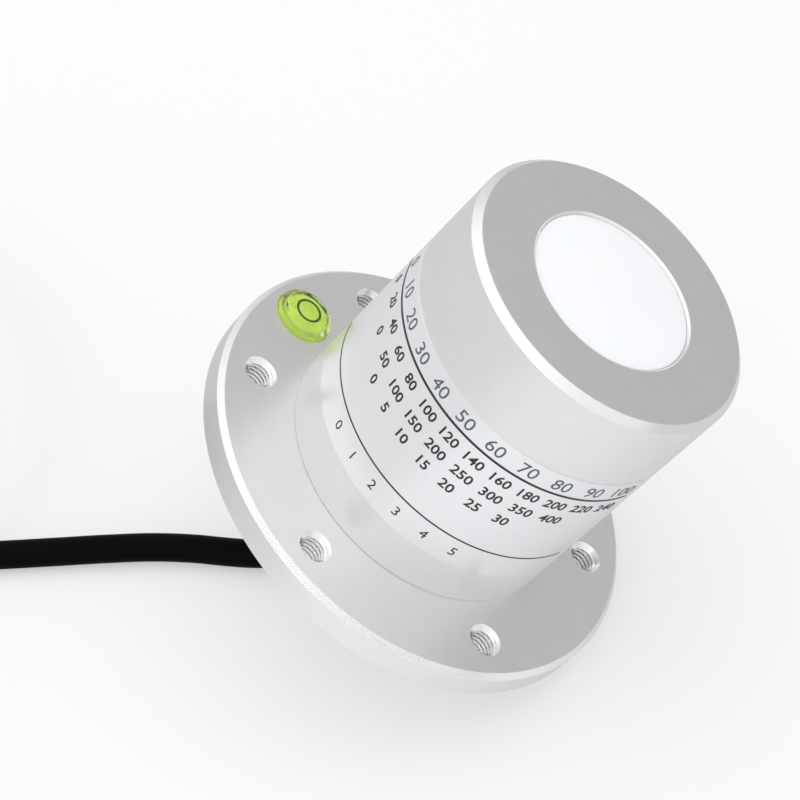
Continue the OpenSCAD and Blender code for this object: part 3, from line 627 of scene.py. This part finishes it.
core_colours = {"red": (0.5, 0.025, 0.02), "black": (0.012, 0.012, 0.013), "yellow": (0.72, 0.5, 0.03),
                "blue": (0.02, 0.07, 0.42)}
insulation = [finish(name + "_core_insulation", colour, 0.34, 2600, 0.000004, 0.08)
              for name, colour in core_colours.items()]
core_r = 0.6
core_place = 0.32 * 2 * cable_r
core_offsets = [core_place * Vector((math.cos(turn), math.sin(turn)))
                for turn in [math.radians(45 + 90 * k) for k in range(4)]]
terminal_screw_r, block_h, mouth_below_middle = 0.8, 8.5, 1.5
poles = [p.y for p in node_points("terminal_screws")]
pole_pitch = (max(poles) - min(poles) - 2 * terminal_screw_r) / 3
block_face = min(p.x for p in node_points("terminal_block"))
mouth_height = max(p.z for p in node_points("terminal_block")) - block_h / 2 - mouth_below_middle
core_lift, core_sunk = 0.6, 2.6
shape = bmesh.new()
for k, offset in enumerate(core_offsets):
    pole = (1.5 - k) * pole_pitch
    foot, reach = jacket_top + core_lift, block_face - core_lift
    path = [(*offset, jacket_top)]
    for step in range(13):
        bent = math.radians(90) * step / 12
        path.append((offset.x + (reach - offset.x) * (1 - math.cos(bent)),
                     offset.y + (pole - offset.y) * (1 - math.cos(2 * bent)) / 2,
                     foot + (mouth_height - foot) * math.sin(bent)))
    path.append((block_face + core_sunk, pole, mouth_height))
    swept(shape, path, core_r, 12, k)
fixed(made("inner_cores", shape, insulation), "core_insulation", "entry_cores")

# Optics under the window: a blackened aluminium holder with two round filter glasses over an
# aperture, a photodiode in a metal can on its round board, and three leads down to the main board.
black_anodised = finish("black_anodised_holder", (0.02, 0.02, 0.022), 0.5, 4200, 0.000004, 0.1,
                        edge=(0.2, 0.35, (0.3, 0.3, 0.3)))
blackened = finish("blackened_screws", (0.05, 0.05, 0.052), 0.4, 2400, 0.000003, 0.1, {"Metallic": 0.8})
green_glass = finish("blue_green_filter_glass", (0.5, 0.86, 0.82), 0.05, 900, 0.0000005, 0.02,
                     {"Transmission Weight": 1.0, "IOR": 1.52})
clear_glass = finish("infrared_filter_glass", (0.78, 0.92, 0.97), 0.05, 900, 0.0000005, 0.02,
                     {"Transmission Weight": 1.0, "IOR": 1.5})
plated_can = finish("plated_diode_can", (0.7, 0.66, 0.52), 0.25, 2000, 0.000002, 0.08, bare_metal,
                    edge=(0.15, 0.4, (0.9, 0.86, 0.7)))
dressed("filter_holder", black_anodised, 0.12)
dressed("holder_screws", blackened, 0.15)
dressed("colour_filter", green_glass, 0.1)
dressed("infrared_filter", clear_glass, 0.1)
dressed("photodiode", plated_can, 0.08)
dressed("sensor_board", solder_mask, 0.08)
dressed("sensor_board_screws", stainless, 0.15)
dressed("sensor_leads", gilded)

# Housing. A cup turned from aluminium bar and finished as the flange, with a bright bevel round
# its top and its window opening. It stands over the flange's ring and its rubber seal, and four
# countersunk screws from below hold it.
edges = node_points("housing")
at_foot = [p.xy.length for p in edges if p.z < flange_t + 0.01]
at_top = [p.xy.length for p in edges if p.z > housing_top - 0.01]
window_r = min(p.xy.length for p in edges)
window_bevel = housing_top - max(p.z for p in edges if p.xy.length < window_r + 0.01)
top_bevel = housing_r - max(at_top)
bore_wall_r = min(at_foot)
ceiling = min(p.z for p in edges if abs(p.xy.length - bore_wall_r) < 0.02 and p.z > housing_top / 2)
recess_heights = [p for p in edges if abs(p.xy.length - window_r) < 0.02]
seal_high = min(p.z for p in recess_heights)
lip_space_r = min(p.xy.length for p in edges if abs(p.z - ceiling) < 0.02)
shape = bmesh.new()
add_turned(shape, [
    (bore_wall_r, flange_t, 0.3, body),
    (housing_r, flange_t, 0.22, side),
    (housing_r, housing_top - top_bevel, 0.08, bevel),
    (housing_r - top_bevel, housing_top, 0.08, body),
    (window_r + window_bevel, housing_top, 0.04, bevel),
    (window_r, housing_top - window_bevel, 0.04, body),
    (window_r, seal_high, 0, body),
    (lip_space_r, seal_high, 0, body),
    (lip_space_r, ceiling, 0.1, body),
    (bore_wall_r, ceiling, 0.2, body),
], steps=256)
# Its side takes the rougher copy of the blasted finish, whose darker tone is painted shade.
housing = made("turned_housing", shape, [blasted, bright_cut, cut_thread, shaded_blasted_side])
holes = bmesh.new()
screw_top = node_reach("housing_screws")[2]
holder_head_r, holder_hole_r = 1.8, 1.15
for hole in round_the_axis(screw_count, screw_circle_r, screw_first):
    add_rod(holes, hole, flange_t - overrun, screw_top + 1, screw_hole_r, 32)
holder_circle_r = node_reach("holder_screws")[0] - holder_head_r
for hole in round_the_axis(3, holder_circle_r):
    add_rod(holes, hole, ceiling - overrun, ceiling + 3, holder_hole_r, 24)
machined(housing, holes)
fixed(housing, "bare_aluminium", "housing")
dressed("housing_seal", rubber)

socket_r, socket_deep = 1.15, 1.1
screw = [(0, 0, 0, body), (head_r, 0, 0.1, body), (shank_r, head_t, 0.05, body),
         (shank_r, screw_top, 0.3, body), (0, screw_top, 0, body)]
shape = bmesh.new()
for place in round_the_axis(screw_count, screw_circle_r, screw_first):
    add_turned(shape, screw, place, 48)
screws = made("countersunk_screws", shape, [stainless])
sockets = bmesh.new()
for x, y in round_the_axis(screw_count, screw_circle_r, screw_first):
    skinned(sockets, [[sockets.verts.new(((x + dx) * mm, (y + dy) * mm, height * mm))
                       for dx, dy in round_the_axis(6, socket_r)] for height in (-overrun, socket_deep)])
machined(screws, sockets)
fixed(screws, "screw_steel", "housing_screws")

# Window. A disc of milky white plastic that spreads the light evenly, with a lip below. It stands
# in the opening of the housing's top, under a flat silicone ring.
milky = finish(
    "milky_white_plastic", (0.91, 0.936, 0.98), 0.42, 2200, 0.000002, 0.03,
    {"Subsurface Weight": 0.5, "Subsurface Radius": (1.0, 1.0, 1.1), "Subsurface Scale": 0.0012},
    dust=0.012,
)
silicone = finish("grey_silicone", (0.16, 0.16, 0.17), 0.6, 2600, 0.00001, 0.1)
lip_r, lip_low, window_top = node_reach("window_diffuser")
lip_high = max(p.z for p in node_points("window_diffuser") if p.xy.length > lip_r - 0.02)
shape = bmesh.new()
add_turned(shape, [
    (0, lip_low, 0, body),
    (lip_r, lip_low, 0.2, body),
    (lip_r, lip_high, 0.2, body),
    (window_r - 0.04, lip_high, 0.1, body),
    (window_r - 0.04, window_top, 0.3, body),
    (0, window_top, 0, body),
], steps=256)
fixed(made("window_disc", shape, [milky]), "white_diffuser", "window_diffuser")
dressed("window_seal", silicone)

# Label. Silver polyester film stuck round the housing, with two black rules and rows of plain
# numbers printed on it.
label_points = node_points("housing_label")
label_r = max(p.xy.length for p in label_points)
label_low, label_high = (function(p.z for p in label_points) for function in (min, max))
sight = math.radians(-117)
swings = [(math.atan2(p.y, p.x) - sight + math.pi) % (2 * math.pi) - math.pi for p in label_points]
label_start, label_end = sight + min(swings), sight + max(swings)


def add_strip(shape, start, end, low, high, inner, outer):
    """Adds a curved strip round the housing between two angles, two heights and two radii."""
    count = round((end - start) / math.radians(1))
    rings = []
    for k in range(count + 1):
        turn = start + (end - start) * k / count
        across = Vector((math.cos(turn), math.sin(turn), 0))
        rings.append([shape.verts.new((across * radius + Vector((0, 0, height))) * mm)
                      for radius, height in ((inner, high), (outer, high), (outer, low), (inner, low))])
    skinned(shape, rings)


film = finish(
    "silver_label_film", (0.86, 0.87, 0.888), 0.3, 1300, 0.0000015, 0.04,
    {"Metallic": 0.6, "Coat Weight": 0.25, "Coat Roughness": 0.2}, dust=0.03,
)
shape = bmesh.new()
add_strip(shape, label_start, label_end, label_low, label_high, housing_r, label_r)
fixed(made("silver_label", shape, [film]), "label_film", "housing_label")

black_ink = finish("black_ink", (0.018, 0.014, 0.02), 0.42, 2600, 0.000001, 0.06)
grey_ink = finish("grey_blue_ink", (0.09, 0.1, 0.15), 0.42, 2600, 0.000001, 0.06)
ink_t = 0.03
upper_rule, lower_rule = flange_t + 32.4, flange_t + 14.3
shape = bmesh.new()
for height, width in ((upper_rule, 0.45), (lower_rule, 0.3)):
    add_strip(shape, label_start, label_end, height - width / 2, height + width / 2, label_r, label_r + ink_t)


def add_number(shape, digits, turn, foot, height, weight, ink):
    """Adds a printed number that is wrapped round the label, its middle at an angle."""
    text = bpy.data.curves.new("number", "FONT")
    text.body = digits
    text.align_x = "CENTER"
    text.size = height / 0.7 * mm
    text.extrude = ink_t / 2 * mm
    text.offset = weight * mm
    text.resolution_u = 3
    lettering = in_scene("number", text)
    flat = bpy.data.meshes.new_from_object(
        lettering.evaluated_get(bpy.context.evaluated_depsgraph_get()))
    bpy.data.objects.remove(lettering)
    corners = []
    for corner in flat.vertices:
        angle = turn + corner.co.x / mm / label_r
        radius = label_r + ink_t / 2 + corner.co.z / mm
        corners.append(shape.verts.new((radius * math.cos(angle) * mm, radius * math.sin(angle) * mm,
                                        (foot + corner.co.y / mm) * mm)))
    for face in flat.polygons:
        shape.faces.new([corners[k] for k in face.vertices]).material_index = ink
    bpy.data.meshes.remove(flat)


margin = math.radians(6)
rows = (
    # foot of the numbers above the flange, their height, how many, step from one to the next,
    # share of the label's length, weight of the strokes, ink
    (33.4, 2.5, 11, 10, 1.0, 0.0, 1),
    (28.9, 1.9, 13, 20, 1.0, 0.05, 0),
    (25.2, 1.9, 9, 50, 0.72, 0.05, 0),
    (21.5, 1.9, 7, 5, 0.5, 0.05, 0),
    (10.4, 1.9, 6, 1, 0.45, 0.0, 0),
)
for foot, height, count, step, share, weight, ink in rows:
    reach = (label_end - label_start - 2 * margin) * share
    start = (label_start + label_end - reach) / 2
    for k in range(count):
        turn = start + reach * k / (count - 1)
        add_number(shape, str(k * step), turn, flange_t + foot, height, weight, ink)
fixed(made("label_print", shape, [black_ink, grey_ink], sharp=math.radians(20)), "label_film")

# Bubble level. A clear acrylic vial with a raised lens, filled with green liquid that leaves a
# bubble, closed by a white plug and glued into its pocket in the flange.
acrylic = finish("green_tinted_acrylic", (0.88, 0.95, 0.62), 0.06, 700, 0.0000005, 0.02,
                 {"Transmission Weight": 1.0, "IOR": 1.49})
# The liquid's emission is a painted glow: the real liquid gives no light.
liquid_with_painted_glow = finish(
    "green_level_liquid_painted_glow", (0.76, 0.95, 0.13), 0.08, 700, 0.0000005, 0.02,
    {"Transmission Weight": 0.4, "IOR": 1.36,
     "Emission Color": (0.68, 0.78, 0.3, 1), "Emission Strength": 0.25},
)
plug_white = finish("white_plug", (0.85, 0.9, 0.7), 0.5, 2600, 0.000004, 0.04)
level_frame = sensor @ Matrix.Translation((*(level_middle * mm), 0))
vial_rim = max(p.z for p in level_corners if (p.xy - level_middle).length > level_r - 0.02)
lens_r = max((p.xy - level_middle).length for p in level_corners if p.z > level_top - 0.01)
fluid_corners = [Vector((*(p.xy - level_middle), p.z)) for p in node_points("level_fluid")]
fluid_r = max(p.xy.length for p in fluid_corners)
fluid_low, fluid_high = (function(p.z for p in fluid_corners) for function in (min, max))
shape = bmesh.new()
add_turned(shape, [
    (fluid_r, level_low, 0, body),
    (level_r, level_low, 0.2, body),
    (level_r, vial_rim, 0.35, body),
    (lens_r, vial_rim, 0.12, body),
    (lens_r - 0.1, level_top, 0.3, body),
    (0, level_top, 0, body),
    (0, fluid_high, 0, body),
    (fluid_r, fluid_high, 0.15, body),
], steps=96)
fixed(made("level_shell", shape, [acrylic], level_frame), "level_acrylic", "level_vial")

shape = bmesh.new()
soak = 0.01
add_turned(shape, [
    (0, fluid_low, 0, body),
    (fluid_r + soak, fluid_low, 0.1, body),
    (fluid_r + soak, fluid_high + soak, 0.15, body),
    (0, fluid_high + soak, 0, body),
], steps=96)
green = made("level_filling", shape, [liquid_with_painted_glow], level_frame)
bubble_r = 1.3
bubble = bmesh.new()
bubble_middle = Vector((bubble_r + 0.15 - fluid_r, 0, fluid_high - bubble_r + 0.6))
bmesh.ops.create_uvsphere(
    bubble, u_segments=48, v_segments=24, radius=bubble_r * mm, matrix=Matrix.Translation(bubble_middle * mm))
machined(green, bubble)
fixed(green, "level_liquid", "level_fluid")

ring_ink = finish("dark_ring_ink", (0.035, 0.09, 0.012), 0.4, 2600, 0.000001, 0.06)
printed_in, printed_out = 1.95, 2.4
shape = bmesh.new()
add_turned(shape, [
    (printed_in, level_top, 0, body),
    (printed_out, level_top, 0, body),
    (printed_out, level_top + ink_t, 0, body),
    (printed_in, level_top + ink_t, 0, body),
], steps=96)
fixed(made("level_ring", shape, [ring_ink], level_frame), "level_white")
dressed("level_plug", plug_white)

# Cable. A round black cable, 2 m long, which leaves the gland, bends away over the table and is
# put away in a neat coil of ten turns, one layer on another.
lead_middle = (
    (-18.2, 0, 9.8), (-20.4, -0.1, 7.4), (-23.2, -0.3, 5.4), (-26.4, -0.8, 3.8), (-29.9, -1.4, 2.9),
    (-33.6, -2.1, 2.6), (-37.4, -2.6, 2.5), (-41.5, -2.8, 2.5), (-47, -2.9, 2.5), (-54, -3.6, 2.5),
    (-62.2, -5.2, 2.5), (-70.4, -7.1, 2.5), (-80.5, -9.4, 2.5), (-91, -11.6, 2.6), (-102, -13.8, 2.9),
    (-110, -15.5, 3.3),
)
coil_x, coil_y, coil_start = -131.5, 18, math.radians(-80)
turn_step, turns_per_layer, layers = 5.45, 2.5, 4
coil_outer = 30 + turns_per_layer * turn_step / 2
coil_inner = coil_outer - turns_per_layer * turn_step
tie_t, tie_room = 0.6, 0.3
coil_z = tie_t + tie_room + cable_r
steps_per_turn = 24


def coil_point(turns):
    """Where the coil is after some turns: in and out layer by layer, each climb taking half a turn."""
    layer = sum(min(max((turns - k * turns_per_layer) / 0.5 + 0.5, 0), 1) for k in range(1, layers))
    inward = abs(turns - 2 * turns_per_layer * round(turns / (2 * turns_per_layer)))
    radius = coil_outer - turn_step * inward
    turn = coil_start - 2 * math.pi * turns
    x, y = coil_x + radius * math.cos(turn), coil_y + radius * math.sin(turn)
    return Vector((x, y, coil_z + turn_step * layer))


loops = [coil_point(k / steps_per_turn) for k in range(round(turns_per_layer * layers * steps_per_turn) + 1)]
coil_heading = Vector((math.sin(coil_start), -math.cos(coil_start), 0))
coil_enter = loops[0] - coil_heading * 2 * cable_r
coil_leave = loops[-1] + coil_heading * 2 * cable_r
cable_exit = seat / mm + lean_axis * cap_low
route = [cable_exit, cable_exit - lean_axis * 1.2]
route += [Vector(point) for point in lead_middle]
route += [coil_enter - coil_heading * 4, coil_enter, *loops, coil_leave]
line = bpy.data.curves.new("sensor_cable", "CURVE")
line.dimensions = "3D"
line.resolution_u = 6
line.bevel_depth = cable_r * mm
line.bevel_resolution = 9
line.use_fill_caps = True
spline = line.splines.new("BEZIER")
spline.bezier_points.add(len(route) - 1)
for k, (point, knot) in enumerate(zip(route, spline.bezier_points)):
    back = point - route[k - 1] if k else lean_axis * -1
    ahead = route[k + 1] - point if k + 1 < len(route) else coil_heading
    heading = (back / back.length_squared + ahead / ahead.length_squared).normalized()
    knot.handle_left_type = knot.handle_right_type = "FREE"
    knot.co = point * mm
    knot.handle_left = (point - heading * back.length / 3) * mm
    knot.handle_right = (point + heading * ahead.length / 3) * mm
line.materials.append(jacket)
cable = in_scene("sensor_cable", line)
cable.visible_glossy = False
fixed(cable, "cable_jacket", "cable_lead", "cable_coil")

# Ties and bare end. Two coated wire ties hold the coil, each bent flat round it and twisted on top.
# At the free end the jacket is stripped and the four cores end in twisted, tinned wires.
tie_coat = finish("black_tie_coating", (0.02, 0.02, 0.021), 0.42, 2600, 0.000006, 0.1)
bundle_low, bundle_high = tie_t / 2, coil_z + (layers - 1) * turn_step + cable_r + tie_room + tie_t / 2
bundle_in = coil_inner - cable_r - tie_room - tie_t / 2
bundle_out = coil_outer + cable_r + tie_room + tie_t / 2
tie_w, tie_corner = 4, 2.6
tie_wire_r, tie_twist_r, tie_twists = 0.5, 0.42, 2.5
strap = ((-tie_w / 2, -tie_t / 2 + 0.1), (-tie_w / 2 + 0.3, tie_t / 2), (0, tie_t / 2 - 0.12),
         (tie_w / 2 - 0.3, tie_t / 2), (tie_w / 2, -tie_t / 2 + 0.1), (tie_w / 2 - 0.3, -tie_t / 2),
         (-tie_w / 2 + 0.3, -tie_t / 2))
shape = bmesh.new()
for tie_turn in (math.radians(140), math.radians(-40)):
    outward = Vector((math.cos(tie_turn), math.sin(tie_turn), 0))
    sideways = Vector((-outward.y, outward.x, 0))
    middle = Vector((coil_x, coil_y, 0))
    loop = []
    near_x, far_x = bundle_in + tie_corner, bundle_out - tie_corner
    low_z, high_z = bundle_low + tie_corner, bundle_high - tie_corner
    for corner_x, corner_z, first in ((far_x, high_z, 0), (near_x, high_z, 90), (near_x, low_z, 180),
                                      (far_x, low_z, 270)):
        for step in range(9):
            turn = math.radians(first + 90 * step / 8)
            loop.append((corner_x + tie_corner * math.cos(turn), corner_z + tie_corner * math.sin(turn),
                         Vector((math.cos(turn), math.sin(turn)))))
    rings = []
    for x, z, out in loop:
        rings.append([shape.verts.new((middle + outward * (x + out.x * deep) + sideways * wide
                                       + Vector((0, 0, z + out.y * deep))) * mm) for wide, deep in strap])
    skinned(shape, rings, closed=True)
    knot_z = bundle_high + tie_t / 2 + 0.85
    for strand in (0, math.pi):
        path = []
        for step in range(41):
            along = -4 + 8 * step / 40
            twist = strand + 2 * math.pi * step / 40 * tie_twists
            path.append(middle + outward * ((bundle_in + bundle_out) / 2 + along)
                        + sideways * tie_twist_r * math.cos(twist)
                        + Vector((0, 0, knot_z + tie_twist_r * math.sin(twist))))
        swept(shape, path, tie_wire_r, 10)
ties = made("coil_tie_straps", shape, [tie_coat], Matrix.Identity(4))
fixed(ties, "tie_plastic", "coil_ties")

coil_inwards = Vector((-math.cos(coil_start), -math.sin(coil_start), 0))
core_lengths = (30, 27, 32, 28)
core_curl, core_sink, core_start, core_spread = 30, 2.2, 1, 0.9
bare_length = 6
strand_r, strand_circle_r, strand_twists = 0.19, 0.2, 1.6


def free_core(k, share):
    """A point of a free core: the cores curl on with the coil, sink and spread apart."""
    offset = core_offsets[k]
    spread = 1 + core_spread * share ** 1.5
    bent = (core_lengths[k] - core_start) * share / core_curl
    return (coil_leave + coil_heading * (core_start + core_curl * math.sin(bent))
            + coil_inwards * (core_curl * (1 - math.cos(bent)) + offset.x * spread)
            + Vector((0, 0, offset.y - core_sink * share ** 2)))


core_shape, wire_shape = bmesh.new(), bmesh.new()
for k, offset in enumerate(core_offsets):
    path = [coil_leave - coil_heading * 0.5 + coil_inwards * offset.x + Vector((0, 0, offset.y))]
    path += [free_core(k, step / 18) for step in range(19)]
    swept(core_shape, path, core_r, 16, k)
    ahead = (path[-1] - path[-2]).normalized()
    aside = ahead.cross(Vector((0, 0, 1))).normalized()
    above = aside.cross(ahead)
    for strand in range(5):
        wire = []
        for step in range(19):
            share = step / 18
            twist = 2 * math.pi * (strand / 5 + strand_twists * share)
            wire.append(path[-1] + ahead * (bare_length * share - 0.3 * (1 - share))
                        + (aside * math.cos(twist) + above * math.sin(twist)) * strand_circle_r)
        swept(wire_shape, wire, strand_r, 8)
end_cores = made("free_cores", core_shape, insulation, Matrix.Identity(4))
fixed(end_cores, "core_insulation", "end_cores")
tinned = finish("tinned_copper", (0.62, 0.61, 0.58), 0.3, 3000, 0.000004, 0.14, bare_metal)
end_wires = made("tinned_wires", wire_shape, [tinned], Matrix.Identity(4))
fixed(end_wires, "tinned_copper", "core_tips")

# Table and light. A plain white table, a room that is brighter in front than behind, one large
# soft lamp overhead and a small one in front.
shape = bmesh.new()
bmesh.ops.create_circle(shape, cap_ends=True, segments=96, radius=3)
table = made("table_top", shape, [], Matrix.Translation((0, 0, -0.00005)))
paper = bpy.data.materials.new("white_table")
paper.use_nodes = True
tree = paper.node_tree
surface = tree.nodes["Principled BSDF"]
surface.inputs["Roughness"].default_value = 0.9
surface.inputs["Specular IOR Level"].default_value = 0.1
rays = tree.nodes.new("ShaderNodeLightPath")
plain_view = calculated(tree, "MAXIMUM", rays.outputs["Is Camera Ray"], rays.outputs["Is Transmission Ray"])
seen = calculated(tree, "MAXIMUM", plain_view, rays.outputs["Is Glossy Ray"])
tree.links.new(blended(tree, seen, (0.78, 0.78, 0.785), (0.475, 0.475, 0.478)), surface.inputs["Base Color"])
surface.inputs["Emission Color"].default_value = (1, 1, 1, 1)
x, y, z = separated(tree)
from_coil_x = calculated(tree, "SUBTRACT", x, coil_x * mm)
from_coil_y = calculated(tree, "SUBTRACT", y, coil_y * mm)
squared = calculated(tree, "MULTIPLY_ADD", from_coil_x, from_coil_x,
                     calculated(tree, "MULTIPLY", from_coil_y, from_coil_y))


def faded(tree, value, start, end):
    """A smooth rise from 0 to 1 as a value goes from its start to its end."""
    rise = tree.nodes.new("ShaderNodeMapRange")
    rise.interpolation_type = "SMOOTHSTEP"
    rise.inputs["From Min"].default_value = start
    rise.inputs["From Max"].default_value = end
    tree.links.new(value, rise.inputs["Value"])
    return rise.outputs["Result"]


# The metal mirrors a table that glows brighter in front, a painted reflection that only glossy rays see.
# Round the coil, painted light makes the table a little whiter, because the coil's shade would otherwise
# reach into the picture.
in_front = calculated(tree, "MULTIPLY", faded(tree, y, 0.06, -0.08),
                      faded(tree, calculated(tree, "ABSOLUTE", x), 0.17, 0.04))
painted_coil_fill = faded(tree, calculated(tree, "SQRT", squared), 0.055, 0.038)
painted_reflection_glow = calculated(tree, "MULTIPLY", calculated(tree, "MULTIPLY_ADD", in_front, 0.29, 0.095),
                    rays.outputs["Is Glossy Ray"])
white_and_painted_coil_fill = calculated(tree, "MULTIPLY_ADD", painted_coil_fill, 0.15, 0.435)
glow = calculated(tree, "MULTIPLY_ADD", plain_view, white_and_painted_coil_fill, painted_reflection_glow)
tree.links.new(glow, surface.inputs["Emission Strength"])
table.data.materials.append(paper)

room = bpy.data.worlds.new("studio")
bpy.context.scene.world = room
room.use_nodes = True
tree = room.node_tree
sky = tree.nodes["Background"]
rays = tree.nodes.new("ShaderNodeLightPath")
x, y, z = separated(tree, "Generated")
behind = calculated(tree, "MULTIPLY", faded(tree, x, -0.68, 0.35), faded(tree, y, -0.05, 0.5))
back_wall = calculated(tree, "MULTIPLY", behind, faded(tree, z, 0.75, 0.4))
reflected = calculated(tree, "MULTIPLY_ADD", back_wall, -0.44, 0.86)
reflected = calculated(tree, "MULTIPLY_ADD", faded(tree, z, 0.3, 0.95), 0.2, reflected)
lit = calculated(tree, "MULTIPLY_ADD", back_wall, -0.3, 0.9)
glossy = rays.outputs["Is Glossy Ray"]
strength = calculated(tree, "ADD", calculated(tree, "MULTIPLY", glossy, reflected),
                      calculated(tree, "MULTIPLY", calculated(tree, "SUBTRACT", 1.0, glossy), lit))
plain_view = calculated(tree, "MAXIMUM", rays.outputs["Is Camera Ray"], rays.outputs["Is Transmission Ray"])
tree.links.new(calculated(tree, "MAXIMUM", strength, plain_view), sky.inputs["Strength"])
sky.inputs["Color"].default_value = (1, 1, 1, 1)

for name, place, aim, size, power, mirrored in (
    ("overhead_lamp", (-0.2, 0, 1.2), (0, 0, 0.02), 1.8, 6.4, False),
    ("front_lamp", (-0.35, -1.2, 0.6), (0, 0, 0.03), 0.8, 1.4, True),
):
    bulb = bpy.data.lights.new(name, "AREA")
    bulb.size = size
    bulb.energy = power
    lamp = in_scene(name, bulb)
    lamp.visible_glossy = mirrored
    lamp.location = place
    lamp.rotation_euler = (Vector(place) - Vector(aim)).to_track_quat("Z", "Y").to_euler()

bpy.context.scene.view_settings.view_transform = "Standard"
